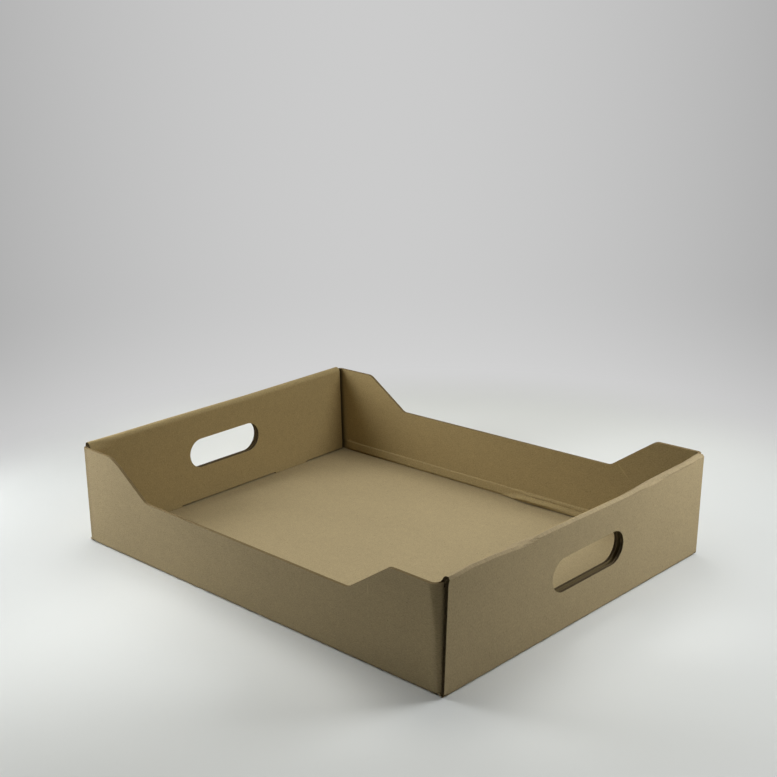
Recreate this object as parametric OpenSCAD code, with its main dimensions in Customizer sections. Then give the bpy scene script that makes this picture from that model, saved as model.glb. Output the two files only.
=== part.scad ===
// Cardboard tray box, folded up from one die-cut blank of corrugated board.
// The long walls are single board. Each end wall is rolled over: an outer panel, a round
// top and an inner panel, which locks into the floor with two tabs. The corner flaps of the
// long walls stand between the two panels and are held there.
// All lengths are in millimetres. The origin is the middle of the underside.

/* [Tray] */
// Outside length, over the end walls
tray_length = 400; // [300:1:600]
// Outside width, over the long walls
tray_width = 300; // [250:1:450]
// Thickness of the corrugated board
board = 2.5; // [1.5:0.25:4]

/* [End walls] */
// Height of the rolled-over top above the table
end_height = 85; // [83:0.5:120]
// Distance from each side to the lower corner of an outer panel
panel_inset = 0.5; // [0.1:0.1:2]
// Distance from a corner bend to the cut ends of the roll and the inner panel
roll_play = 0.5; // [0.2:0.1:5]
// Gap under the inner panel and the corner flaps, above the floor
foot_gap = 1.2; // [0.2:0.1:3]

/* [Hand slots] */
// Length of a slot, over its round ends
slot_length = 80; // [40:1:140]
// Height of the slot's opening
slot_height = 26; // [15:1:40]
// Height of the slot's middle above the table
slot_middle = 45; // [30:0.5:60]
// Distance from the end wall's middle to the slot's: backwards at the right end, forwards at the left
slot_offset = 3; // [-20:0.5:20]

/* [Long walls] */
// Height of the shoulders
wall_height = 82; // [60:0.5:84]
// Height of the lowered middle
low_height = 54; // [30:0.5:75]
// Distance from the tray's end to the start of the slope
shoulder_length = 44.5; // [20:0.5:80]
// Length of the slope along the wall
slope_length = 41.5; // [20:0.5:80]
// Rounding at the top of the slope
shoulder_radius = 10; // [2:0.5:30]
// Rounding at the foot of the slope
dip_radius = 9; // [2:0.5:30]

/* [Corner flaps] */
// Inside radius of the bend from a long wall into its corner flap
bend_inside = 2; // [0.5:0.5:5]
// Reach of a flap along the end wall, from the long wall's outer face
flap_reach = 98; // [30:1:105]
// Step from the shoulder down to the flap's upper edge
flap_drop = 4; // [0.5:0.5:20]
// Play between a flap and the panel on each side of it
flap_play = 0.25; // [0.1:0.05:1]

/* [Locking tabs] */
// Width of a tab along the inner panel's foot
tab_width = 40; // [15:1:60]
// Distance between the middles of the two tabs of an end
tab_spacing = 151; // [80:1:220]
// Play round a tab in its floor slot
tab_play = 0.5; // [0.2:0.1:1.5]
// Distance from a tab's end up to the table
tab_recess = 0.3; // [0:0.1:1.5]

/* [Fold beads] */
// Height of the liner's bead along a base fold
bead_height = 9.5; // [4:0.5:20]
// How far that bead stands off the wall
bead_bulge = 1.5; // [0.5:0.1:2]
// Place along the back wall where its bead buckles into two
bead_split = 12; // [-150:1:150]
// Height of the lower bead beyond that place
lower_bead_height = 6; // [5:0.5:12]
// How far the lower bead stands off the wall
lower_bead_bulge = 2.4; // [0.5:0.1:2.5]
// Height of the upper bead beyond that place
upper_bead_height = 4.5; // [3:0.5:10]
// How far the upper bead stands off the wall
upper_bead_bulge = 1.3; // [0.5:0.1:1.5]

/* [Hidden] */
$fn = 96;
half_length = tray_length / 2;
half_width = tray_width / 2;
// The layers of an end wall: two panels with a flap and its play between them
layer_gap = board + 2 * flap_play;
end_thickness = 2 * board + layer_gap;
roll_radius = end_thickness / 2;
roll_level = end_height - roll_radius;
// The corner bends and the straight run of the long walls between them
bend_outside = bend_inside + board;
flap_face = half_length - board - flap_play;
wall_half = flap_face - bend_outside;
bend_line = half_width - bend_outside;
// Half widths of an outer panel at its foot and at the roll
panel_half = half_width - panel_inset;
roll_half = bend_line - roll_play;
// The inner panel's face, from the tray's middle
inner_face = half_length - end_thickness;
// The beads end short of the inner panels and of the corner bends
bead_half = min(wall_half, inner_face - roll_play);
foot_level = board + foot_gap;
// The slope of a long wall's upper edge, and the lengths its two roundings take up
slope_angle = atan2(wall_height - low_height, slope_length);
shoulder_x = half_length - shoulder_length;
dip_x = shoulder_x - slope_length;
shoulder_run = shoulder_radius * tan(slope_angle / 2);
dip_run = dip_radius * tan(slope_angle / 2);
// Cuts run this far past what they cut
over = 5;
// Stretches of the sheet that are built apart run this far into each other
lap = board;

// Quarter round of a base fold: inside corner at (board, board), outer faces on the axes
module fold_section() {
    intersection() {
        translate([board, board]) circle(r = board);
        square(board);
    }
}

// Hand slot outline, round-ended
module slot_outline() {
    straight = slot_length - slot_height;
    square([straight, slot_height], center = true);
    for (s = [-1, 1]) translate([s * straight / 2, 0]) circle(d = slot_height);
}

// What the die cuts out of a long wall's upper edge, as seen from the side
module dip_outline() {
    c = cos(slope_angle);
    s = sin(slope_angle);
    right = [
        [dip_x - dip_run, low_height],
        [dip_x + dip_run * c, low_height + dip_run * s],
        [shoulder_x - shoulder_run * c, wall_height - shoulder_run * s],
        [shoulder_x + shoulder_run, wall_height],
        [shoulder_x + shoulder_run, wall_height + over]
    ];
    left = [for (i = [len(right) - 1 : -1 : 0]) [-right[i][0], right[i][1]]];
    difference() {
        union() {
            polygon(concat(right, left));
            for (m = [-1, 1])
                translate([m * (dip_x - dip_run), low_height + dip_radius]) circle(r = dip_radius);
        }
        for (m = [-1, 1])
            translate([m * (shoulder_x + shoulder_run), wall_height - shoulder_radius])
                circle(r = shoulder_radius);
    }
}

// Floor panel with its rounded corners and the slots for the locking tabs
module floor_panel() {
    difference() {
        union() {
            translate([-wall_half, board - half_width, 0])
                cube([2 * wall_half, 2 * (half_width - board), board]);
            translate([board - half_length, -bend_line, 0])
                cube([2 * (half_length - board), 2 * bend_line, board]);
            for (x = [0, 1], y = [0, 1]) mirror([x, 0, 0]) mirror([0, y, 0])
                translate([wall_half, bend_line, 0]) rotate_extrude(angle = 90) {
                    square([bend_inside, board]);
                    translate([bend_outside, 0]) mirror([1, 0]) fold_section();
                }
        }
        for (x = [0, 1], y = [-1, 1]) mirror([x, 0, 0])
            translate([inner_face - tab_play, y * tab_spacing / 2 - tab_width / 2 - tab_play, -over])
                cube([board + 2 * tab_play, tab_width + 2 * tab_play, board + 2 * over]);
    }
}

// Long wall on the +Y side: base fold, wall and the cut-down upper edge
module long_wall() {
    difference() {
        translate([-wall_half, half_width, 0]) rotate([90, 0, 90])
            linear_extrude(height = 2 * wall_half) mirror([1, 0]) {
                fold_section();
                translate([0, board]) square([board, wall_height - board]);
            }
        translate([0, half_width + over, 0]) rotate([90, 0, 0])
            linear_extrude(height = board + 2 * over) dip_outline();
    }
}

// Plan of a corner: the end of the long wall, the bend and the flap
module corner_plan() {
    translate([wall_half - lap, half_width - board]) square([lap, board]);
    translate([wall_half, bend_line]) intersection() {
        difference() {
            circle(r = bend_outside);
            circle(r = bend_inside);
        }
        square(bend_outside);
    }
    translate([flap_face - board, half_width - flap_reach]) square([board, flap_reach - bend_outside]);
}

// Corner of the +X and +Y sides: the bend out of the long wall and the lower flap it carries
module corner_flap() {
    difference() {
        translate([0, 0, foot_level]) linear_extrude(height = wall_height - foot_level) corner_plan();
        translate([inner_face, half_width - flap_reach - over, wall_height - flap_drop])
            cube([end_thickness, flap_reach - bend_outside + over, flap_drop + over]);
    }
}

// Section of an end wall from its outer face inwards: outer panel, round top and inner panel
module end_section() {
    translate([0, board]) square([board, roll_level - board]);
    translate([roll_radius, roll_level]) intersection() {
        difference() {
            circle(r = roll_radius);
            circle(r = roll_radius - board);
        }
        translate([-roll_radius, 0]) square([end_thickness, roll_radius]);
    }
    translate([end_thickness - board, foot_level]) square([board, roll_level - foot_level]);
}

// End wall on the +X side: base fold, tapering outer panel, roll, inner panel and its locking tabs
module end_wall() {
    difference() {
        union() {
            translate([half_length, panel_half, 0]) rotate([90, 0, 0]) linear_extrude(height = 2 * panel_half)
                mirror([1, 0]) fold_section();
            translate([half_length - board, 0, 0]) rotate([90, 0, 90]) linear_extrude(height = board)
                polygon([
                    [-panel_half, board], [panel_half, board],
                    [roll_half, roll_level], [-roll_half, roll_level]
                ]);
            translate([half_length, roll_half, 0]) rotate([90, 0, 0]) linear_extrude(height = 2 * roll_half)
                mirror([1, 0]) end_section();
            for (y = [-1, 1]) translate([inner_face, y * tab_spacing / 2 - tab_width / 2, tab_recess])
                cube([board, tab_width, foot_level + lap - tab_recess]);
        }
        translate([inner_face - over, slot_offset, slot_middle]) rotate([90, 0, 90])
            linear_extrude(height = end_thickness + 2 * over) slot_outline();
    }
}

// Bead of buckled liner on the inside of the +Y base fold, between two places along the wall
module bead(start, end, foot, height, bulge) {
    radius = (height * height / 4 + bulge * bulge) / (2 * bulge);
    intersection() {
        translate([start, half_width - board - bulge + radius, foot + height / 2]) rotate([0, 90, 0])
            cylinder(r = radius, h = end - start);
        translate([start, half_width - board - bulge - over, foot])
            cube([end - start, bulge + over + board / 2, height]);
    }
}

// The back wall's bead splits in two where the liner has buckled; the front wall's stays single
module fold_beads() {
    foot = 0.75 * board;
    meet = board / 4;
    bead(-bead_half, bead_split + meet, foot, bead_height, bead_bulge);
    bead(bead_split - meet, bead_half, foot, lower_bead_height, lower_bead_bulge);
    bead(bead_split - meet, bead_half, foot + lower_bead_height - meet, upper_bead_height, upper_bead_bulge);
    mirror([0, 1, 0]) bead(-bead_half, bead_half, foot, bead_height, bead_bulge);
}

module tray() {
    color("burlywood") union() {
        floor_panel();
        for (y = [0, 1]) mirror([0, y, 0]) long_wall();
        for (turn = [0, 180]) rotate([0, 0, turn]) end_wall();
        for (x = [0, 1], y = [0, 1]) mirror([x, 0, 0]) mirror([0, y, 0]) corner_flap();
        fold_beads();
    }
}

tray();
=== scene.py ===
"""Cardboard tray box: one sheet of kraft board cut, folded and dressed, and the studio round it."""

import logging
import math
from dataclasses import dataclass
from enum import Enum
from typing import Any, Iterable, Mapping, Optional, Sequence, Union

import bpy
import numpy as np
from mathutils import Matrix, Vector, kdtree
from mathutils.geometry import delaunay_2d_cdt


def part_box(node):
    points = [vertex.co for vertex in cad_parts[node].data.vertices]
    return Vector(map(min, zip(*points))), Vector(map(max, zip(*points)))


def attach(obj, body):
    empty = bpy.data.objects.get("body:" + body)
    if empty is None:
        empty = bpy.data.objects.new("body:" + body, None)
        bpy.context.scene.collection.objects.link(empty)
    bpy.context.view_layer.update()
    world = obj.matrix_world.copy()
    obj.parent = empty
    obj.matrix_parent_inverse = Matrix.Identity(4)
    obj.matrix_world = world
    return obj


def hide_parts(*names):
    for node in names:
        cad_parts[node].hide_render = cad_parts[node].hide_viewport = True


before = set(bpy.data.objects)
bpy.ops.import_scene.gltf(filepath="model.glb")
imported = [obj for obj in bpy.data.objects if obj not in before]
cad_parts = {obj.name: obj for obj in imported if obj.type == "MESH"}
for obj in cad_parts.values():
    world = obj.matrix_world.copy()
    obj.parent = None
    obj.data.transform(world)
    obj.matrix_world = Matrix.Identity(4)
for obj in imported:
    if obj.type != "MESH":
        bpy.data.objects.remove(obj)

MM = 0.001
QUARTER = math.pi / 2
SLACK = 1e-6
WELD = 1e-8
GRID_DIGITS = 7
PHOTO_SIDE = 777
SENSOR = 36.0
NOISE_MIDDLE = 0.5
WHITE = (1.0, 1.0, 1.0)
COOL = (0.96, 1.0, 1.08)
QUADRANTS = ((1, 1), (-1, 1), (-1, -1), (1, -1))
Colour = tuple[float, float, float, float]
Place = tuple[float, float, float]
Stretch = tuple[float, float, float]
Profile = tuple[tuple[float, float], ...]
log = logging.getLogger("tray")


class EndSide(Enum):
    """An end wall, by the sign of its place along the tray."""

    LEFT = -1
    RIGHT = 1


class LongSide(Enum):
    """A long wall, by the sign of its place across the tray."""

    FRONT = -1
    BACK = 1


def smoothstep(value: np.ndarray, low: float, high: float) -> np.ndarray:
    """A smooth rise from 0 at low to 1 at high.

    Args:
        value: Where the rise is read.
        low: The place where it starts.
        high: The place where it ends.

    Returns:
        The rise, as an array like value.
    """
    share = np.clip((value - low) / (high - low), 0.0, 1.0)
    return share * share * (3.0 - 2.0 * share)


def line(start: Sequence[float], end: Sequence[float], step: float) -> np.ndarray:
    """Points along a straight cut, without its last point.

    Args:
        start: First point.
        end: Last point, which the next stretch begins with.
        step: Longest distance between two points.

    Returns:
        The points, one a row.
    """
    first, last = np.array(start, float), np.array(end, float)
    count = max(1, math.ceil(np.linalg.norm(last - first) / step - SLACK))
    return first + (last - first) * (np.arange(count) / count)[:, None]


def arc(centre: Sequence[float], radius: float, start: float, end: float, step: float) -> np.ndarray:
    """Points along a round cut, without its last point.

    Args:
        centre: Middle of the circle.
        radius: Radius of the circle.
        start: First angle in radians.
        end: Last angle in radians.
        step: Longest distance between two points.

    Returns:
        The points, one a row.
    """
    count = max(2, math.ceil(abs(end - start) * radius / step))
    angle = start + (end - start) * np.arange(count) / count
    return np.array(centre) + radius * np.stack([np.cos(angle), np.sin(angle)], 1)


def places(stretches: Iterable[Stretch]) -> np.ndarray:
    """The places of some stretches, each a start, an end and a step in millimetres."""
    return np.concatenate([np.arange(*stretch) for stretch in stretches]) * MM


def crossing(columns: np.ndarray, rows: np.ndarray) -> np.ndarray:
    """Every point where a column meets a row, one a row."""
    return np.stack(np.meshgrid(columns, rows), -1).reshape(-1, 2)


def read(line_points: Profile, where: np.ndarray) -> np.ndarray:
    """Reads a line through some points, whose places are in millimetres, at places in metres."""
    return np.interp(where / MM, *zip(*line_points))


def linear(red: int, green: int, blue: int) -> Colour:
    """A colour of 0 to 255 in the display's scale, as the shaders hold it.

    Args:
        red: Red, 0 to 255.
        green: Green, 0 to 255.
        blue: Blue, 0 to 255.

    Returns:
        The linear colour with a full alpha.
    """
    parts = [value / 255.0 for value in (red, green, blue)]
    bent = [p / 12.92 if p <= 0.04045 else ((p + 0.055) / 1.055) ** 2.4 for p in parts]
    return (bent[0], bent[1], bent[2], 1.0)


@dataclass(frozen=True)
class Board:
    """The corrugated board, with what shows of it at a cut edge."""

    thickness: float = 2.5 * MM
    liner: float = 0.35 * MM
    medium: float = 0.3 * MM
    medium_play: float = 0.06 * MM
    flute_pitch: float = 6.5 * MM
    flute_recess: float = 0.9 * MM
    wall_recess: float = 0.12 * MM

    def medium_level(self, along: np.ndarray) -> np.ndarray:
        """Height of the wavy medium off the sheet's middle, along the blank's length."""
        swing = self.thickness / 2 - self.liner - self.medium / 2 - self.medium_play
        return swing * np.sin(2 * math.pi * along / self.flute_pitch)


@dataclass(frozen=True)
class RollStretch:
    """A short stretch of a roll, where it stands higher or lower and its crease runs lower."""

    middle: float
    reach: float
    crease_drop: float = 0.0
    crest_rise: float = 0.0

    def share(self, across: np.ndarray) -> np.ndarray:
        """The stretch's part at places across the tray: 1 at its middle and 0 past its reach."""
        return 1 - smoothstep(np.abs(across - self.middle), 0.0, self.reach)


@dataclass(frozen=True)
class RollForm:
    """The settled top of an end wall: how it has sunk across the tray, from front to back.

    A pressed roll has a flat facet on its outer side, from a crease at some distance past the start
    of the roll up to an edge just past its middle. A round roll has no crease.
    """

    sag_places: tuple[float, ...]
    sags: tuple[float, ...]
    crease: Optional[float] = None
    stretches: tuple[RollStretch, ...] = ()
    tip_pinch: float = 0.3
    blur: float = 5 * MM
    blur_taps: int = 5

    def rise(self, across: np.ndarray) -> np.ndarray:
        """How far the roll stands above its designed height.

        Args:
            across: Places across the tray.

        Returns:
            The rises there, below 0 where the roll has sunk.
        """
        shifts = np.linspace(-self.blur, self.blur, self.blur_taps)
        sag = np.mean([np.interp(across + shift, self.sag_places, self.sags) for shift in shifts], 0)
        return sum((part.crest_rise * part.share(across) for part in self.stretches), -sag)

    def crease_place(self, across: np.ndarray) -> np.ndarray:
        """Where a pressed roll's crease lies across the tray, past the start of the roll."""
        return self.crease - sum(part.crease_drop * part.share(across) for part in self.stretches)


@dataclass(frozen=True)
class EndForm:
    """How one end wall was cut and has settled."""

    end: EndSide
    slot_length: float
    slot_widen: float
    roll: RollForm


@dataclass(frozen=True)
class CornerForm:
    """How one corner has settled: its lean, its bend's radius at the top and the pull on its panel."""

    end: EndSide
    side: LongSide
    lean: Place
    bend_top: float
    pull_low: float = 0.0
    pull_high: float = 0.0

    def owns(self, x: np.ndarray, y: np.ndarray) -> np.ndarray:
        """True for the places in this corner's quarter of the tray."""
        return (np.sign(x) == self.end.value) & (np.sign(y) == self.side.value)


@dataclass(frozen=True)
class Spacing:
    """How close together the sheet's inner places lie, most of it as stretches in millimetres."""

    along: tuple[Stretch, ...] = ((0, 48, 2), (48, 186, 6))
    corner: tuple[Stretch, ...] = ((186, 189, 2.5), (190.5, 197, 5.5))
    across: tuple[Stretch, ...] = ((0, 146, 5),)
    floor: tuple[Stretch, ...] = ((0, 133, 12), (138, 143, 4), (144.5, 147, 1.5))
    wall_rise: tuple[Stretch, ...] = ((3.1, 12.4, 0.45), (13.2, 15.1, 1.8), (18, 23, 4), (27, 81, 5))
    flap_rise: tuple[Stretch, ...] = ((3.4, 12.4, 0.9), (14, 82, 4), (80.6, 81, 1))
    panel_rise: tuple[Stretch, ...] = ((4, 8, 3), (12, 60, 6), (60, 76, 2.5), (76, 80.7, 0.5))
    bend_start: float = 186
    bend_past: float = 1
    bend_step: float = 0.4
    flap_step: float = 6
    fold_rows: int = 7
    roll_steps: int = 24
    panel_edge: float = 1.5 * MM


@dataclass
class TrayBlank:
    """The die-cut blank: its outline laid flat, and the way it folds up into the tray.

    Flat places are (u, v): u runs along the tray and v across it, from the floor's middle.
    """

    length: float
    width: float
    height: float
    board: Board = Board()
    spacing: Spacing = Spacing()
    fold_inside: float = 0.25 * MM
    wall_height: float = 82 * MM
    low_height: float = 54 * MM
    shoulder_length: float = 44.5 * MM
    slope_length: float = 41.5 * MM
    shoulder_radius: float = 10 * MM
    dip_radius: float = 9 * MM
    bend_low: float = 2.75 * MM
    bend_start: float = 25 * MM
    bend_power: float = 3.0
    flap_reach: float = 98 * MM
    flap_drop: float = 4 * MM
    flap_drop_run: float = 0.5 * MM
    flap_play: float = 0.25 * MM
    flap_gap: float = 0.45 * MM
    slit_room: float = 1 * MM
    strip_play: float = 0.25 * MM
    panel_inset: float = 0.5 * MM
    roll_inset: float = 5 * MM
    roll_radius: float = 4 * MM
    foot_gap: float = 1.2 * MM
    slot_height: float = 26 * MM
    slot_middle: float = 45 * MM
    slot_slope: float = 1 * MM
    slot_offset: float = 3 * MM
    tab_width: float = 40 * MM
    tab_spacing: float = 151 * MM
    tab_play: float = 0.5 * MM
    tab_recess: float = 0.3 * MM
    edge_step: float = 0.9 * MM
    fine_step: float = 0.4 * MM
    hidden_step: float = 2 * MM
    clearance: float = 0.3 * MM
    normal_reach: float = 8 * MM
    normal_step: float = 0.02 * MM
    lean_height: float = 80 * MM
    left_taper: float = 2.5 * MM
    panel_hold: float = 0.5
    wall_tuck: float = 0.65
    facet_tip: float = 0.5 * MM
    sag_heights: tuple[float, float] = (58 * MM, 84 * MM)
    pinch_heights: tuple[float, float] = (77 * MM, 83 * MM)
    pinch_places: tuple[float, float] = (118 * MM, 142 * MM)
    pull_places: tuple[float, float] = (90 * MM, 140 * MM)
    dent_heights: tuple[float, float] = (64 * MM, 81 * MM)
    dent_place: float = -154 * MM
    dent_width: float = 4 * MM
    dent_depth: float = 1.1 * MM
    dent_margin: float = 1 * MM
    corners: tuple[CornerForm, ...] = (
        CornerForm(EndSide.LEFT, LongSide.FRONT, (-0.5 * MM, 1.5 * MM, 0.0), 2.75 * MM, 4.4 * MM, 0.5 * MM),
        CornerForm(EndSide.RIGHT, LongSide.FRONT, (3.5 * MM, -4.5 * MM, -0.8 * MM), 7 * MM),
        CornerForm(EndSide.LEFT, LongSide.BACK, (0.0, 0.5 * MM, 0.5 * MM), 3 * MM, 1.3 * MM, 1.3 * MM),
        CornerForm(EndSide.RIGHT, LongSide.BACK, (2 * MM, 8 * MM, 0.9 * MM), 5 * MM),
    )
    ends: tuple[EndForm, ...] = (
        EndForm(EndSide.LEFT, slot_length=80 * MM, slot_widen=1.4 * MM, roll=RollForm(
            sag_places=(-70 * MM, 30 * MM, 145 * MM),
            sags=(0.0, 0.8 * MM, 0.3 * MM))),
        EndForm(EndSide.RIGHT, slot_length=83 * MM, slot_widen=0.0, roll=RollForm(
            sag_places=(-145 * MM, -110 * MM, -50 * MM, 45 * MM, 85 * MM, 125 * MM, 145 * MM),
            sags=(-1 * MM, 1.5 * MM, 3.2 * MM, 5.4 * MM, 3.6 * MM, 3.5 * MM, 1.8 * MM),
            crease=4.3 * MM,
            stretches=(
                RollStretch(-150 * MM, 35 * MM, crease_drop=1.6 * MM),
                RollStretch(-88 * MM, 10 * MM, crest_rise=-0.7 * MM),
                RollStretch(-70 * MM, 18 * MM, crease_drop=2.6 * MM, crest_rise=0.5 * MM),
                RollStretch(-52 * MM, 10 * MM, crest_rise=-0.3 * MM),
                RollStretch(79 * MM, 20 * MM, crease_drop=1.8 * MM),
                RollStretch(100 * MM, 40 * MM, crease_drop=1 * MM),
                RollStretch(150 * MM, 35 * MM, crease_drop=1.6 * MM)),
            tip_pinch=0.5)),
    )

    def __post_init__(self) -> None:
        """Works out the fold lines from the sizes."""
        self.half_length = self.length / 2
        self.half_width = self.width / 2
        self.half_board = self.board.thickness / 2
        self.fold_mid = self.fold_inside + self.half_board
        self.fold_outside = self.fold_inside + self.board.thickness
        self.long_fold = self.half_width - self.fold_outside
        self.end_fold = self.half_length - self.fold_outside
        self.wall_foot = self.long_fold + self.fold_mid * QUARTER
        self.panel_foot = self.end_fold + self.fold_mid * QUARTER
        self.roll_level = self.height - self.roll_radius
        self.roll_mid = self.roll_radius - self.half_board
        self.roll_start = self.panel_foot + self.roll_level - self.fold_outside
        self.roll_end = self.roll_start + math.pi * self.roll_mid
        self.foot_level = self.board.thickness + self.foot_gap
        self.flap_foot = self.at_height(self.board.thickness + self.flap_gap)
        self.panel_end = self.roll_end + self.roll_level - self.foot_level
        self.tab_end = self.panel_end + self.foot_level - self.tab_recess
        self.tab_hole = np.array([self.half_board, self.tab_width / 2]) + self.tab_play
        self.panel_half = self.half_width - self.panel_inset
        self.roll_half = self.half_width - self.roll_inset
        self.flap_face = self.half_length - self.board.thickness - self.flap_play
        self.slit_start = self.flap_face - self.bend_low - self.slit_room
        self.strip_end = self.end_fold - self.strip_play
        self.flap_top = self.at_height(self.wall_height - self.flap_drop)
        widest = max(corner.bend_top for corner in self.corners)
        self.bend_end = self.flap_face - widest + (widest - self.half_board) * QUARTER
        bend_run = (self.bend_low - self.half_board) * QUARTER
        self.flap_end = self.flap_face - 2 * self.bend_low + bend_run + self.flap_reach
        self.inner_face = self.half_length - 2 * self.roll_radius
        self.upper_u, self.upper_v = self.upper_edge().T

    def at_height(self, height: Union[float, np.ndarray]) -> Union[float, np.ndarray]:
        """Flat v of a height on a long wall."""
        return self.wall_foot + height - self.fold_outside

    def bend_radius(self, height: np.ndarray, sign: np.ndarray) -> np.ndarray:
        """Outside radius of a corner bend, which opens towards the top.

        Args:
            height: Heights above the table.
            sign: The signs of the flat places, which tell the corners apart.

        Returns:
            The radius at each place.
        """
        share = np.clip((height - self.bend_start) / (self.wall_height - self.bend_start), 0.0, 1.0)
        top = np.zeros(len(height))
        for corner in self.corners:
            top[corner.owns(*sign.T)] = corner.bend_top
        return self.bend_low + (top - self.bend_low) * share ** self.bend_power

    def upper_edge(self) -> np.ndarray:
        """The upper cut of a long wall and its flap.

        Returns:
            Its flat points, from the wall's middle to the flap's end.
        """
        slope = math.atan2(self.wall_height - self.low_height, self.slope_length)
        rise = np.array([math.cos(slope), math.sin(slope)])
        high, low = self.at_height(self.wall_height), self.at_height(self.low_height)
        shoulder = np.array([self.half_length - self.shoulder_length, high])
        dip = np.array([shoulder[0] - self.slope_length, low])
        shoulder_run = self.shoulder_radius * math.tan(slope / 2)
        dip_run = self.dip_radius * math.tan(slope / 2)
        shoulder_centre = shoulder + (shoulder_run, -self.shoulder_radius)
        dip_centre = dip + (-dip_run, self.dip_radius)
        flap_start = (self.bend_end + self.flap_drop_run, self.flap_top)
        flap_end = (self.flap_end, self.flap_top)
        step = self.edge_step
        return np.vstack([
            line((0, low), (dip_centre[0], low), step),
            arc(dip_centre, self.dip_radius, -QUARTER, slope - QUARTER, step),
            line(dip + dip_run * rise, shoulder - shoulder_run * rise, step),
            arc(shoulder_centre, self.shoulder_radius, QUARTER + slope, QUARTER, step),
            line((shoulder_centre[0], high), (self.bend_end, high), step),
            line((self.bend_end, high), flap_start, step),
            line(flap_start, flap_end, self.hidden_step),
            flap_end,
        ])

    def lower_edge(self) -> np.ndarray:
        """The rest of a quarter of the outline: flap, corner slit, end panel, roll and tabs.

        Returns:
            Its flat points, from the flap's end to the middle of the inner panel's foot.
        """
        tab_out = (self.tab_spacing + self.tab_width) / 2
        tab_in = (self.tab_spacing - self.tab_width) / 2
        edge, fine, hidden = self.edge_step, self.fine_step, self.hidden_step
        turns = [
            ((self.flap_end, self.flap_top), hidden),
            ((self.flap_end, self.flap_foot), hidden),
            ((self.slit_start, self.flap_foot), fine),
            ((self.slit_start, self.wall_foot), edge),
            ((self.strip_end, self.wall_foot), fine),
            ((self.strip_end, self.long_fold), fine),
            ((self.end_fold, self.long_fold), fine),
            ((self.end_fold, self.panel_half), fine),
            ((self.panel_foot, self.panel_half), edge),
            ((self.roll_start, self.roll_half), math.pi * self.roll_mid / self.spacing.roll_steps),
            ((self.roll_end, self.roll_half), edge),
            ((self.panel_end, self.roll_half), hidden),
            ((self.panel_end, tab_out), hidden),
            ((self.tab_end, tab_out), hidden),
            ((self.tab_end, tab_in), hidden),
            ((self.panel_end, tab_in), hidden),
            ((self.panel_end, 0.0), hidden),
        ]
        stretches = [line(a, b, step) for (a, step), (b, _) in zip(turns, turns[1:])]
        return np.vstack(stretches + [turns[-1][0]])

    def outline(self) -> np.ndarray:
        """The blank's outer cut as one closed loop, made of four mirrored quarters.

        Returns:
            Its flat points, one a row.
        """
        quarter = np.vstack([self.upper_edge()[:-1], self.lower_edge()])
        half = np.vstack([quarter, quarter[-2::-1] * (1, -1)])
        return np.vstack([half, half[-2:0:-1] * (-1, 1)])

    def slot_places(self) -> list[tuple[float, float, float, float]]:
        """The four cuts that make the two hand slots, two to an end.

        Returns:
            For each its flat middle, half its straight length and the radius of its ends.
        """
        found = []
        radius = self.slot_height / 2
        for form in self.ends:
            sign = form.end.value
            middle = self.slot_middle - sign * self.slot_slope
            reach = form.slot_length / 2 - radius
            v = sign * self.slot_offset
            outer = sign * (self.panel_foot + middle - self.fold_outside)
            found.append((outer, v, reach, radius + form.slot_widen))
            found.append((sign * (self.roll_end + self.roll_level - middle), v, reach, radius))
        return found

    def tab_places(self) -> list[tuple[float, float]]:
        """Flat middles of the four floor slots that take the locking tabs."""
        u, v = self.inner_face + self.half_board, self.tab_spacing / 2
        return [(end.value * u, side.value * v) for end in EndSide for side in LongSide]

    def holes(self) -> list[np.ndarray]:
        """The cuts inside the outline.

        Returns:
            For each hand slot and each floor slot a closed loop of flat points.
        """
        found = []
        for u, v, reach, radius in self.slot_places():
            found.append(np.vstack([
                arc((u, v + reach), radius, 0, math.pi, self.edge_step),
                line((u - radius, v + reach), (u - radius, v - reach), self.edge_step),
                arc((u, v - reach), radius, math.pi, 2 * math.pi, self.edge_step),
                line((u + radius, v - reach), (u + radius, v + reach), self.edge_step),
            ]))
        for place in self.tab_places():
            ring = [np.array(place) + self.tab_hole * sign for sign in QUADRANTS]
            sides = zip(ring, ring[1:] + ring[:1])
            found.append(np.vstack([line(a, b, self.hidden_step) for a, b in sides]))
        return found

    def holds(self, flat: np.ndarray) -> np.ndarray:
        """Tells which flat places are board.

        Args:
            flat: Flat places, one a row.

        Returns:
            True for each place that lies inside the outline and outside the holes.
        """
        u, v = np.abs(flat).T
        upper = np.interp(u, self.upper_u, self.upper_v)
        wall = (v <= upper) & ((u <= self.slit_start) | ((v >= self.flap_foot) & (u <= self.flap_end)))
        strip = (u <= self.strip_end) & (v <= self.wall_foot)
        join = (u <= self.end_fold) & (v <= self.long_fold)
        side = np.interp(u, [self.panel_foot, self.roll_start], [self.panel_half, self.roll_half])
        panel = (u >= self.end_fold) & (u <= self.panel_end) & (v <= side)
        tab = (u >= self.panel_end) & (u <= self.tab_end)
        tab &= np.abs(v - self.tab_spacing / 2) <= self.tab_width / 2
        inside = wall | strip | join | panel | tab
        for slot_u, slot_v, reach, radius in self.slot_places():
            off = np.abs(flat - (slot_u, slot_v))
            inside &= np.hypot(off[:, 0], np.maximum(off[:, 1] - reach, 0)) >= radius
        for place in self.tab_places():
            inside &= ~(np.abs(flat - place) < self.tab_hole).all(1)
        return inside

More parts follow.
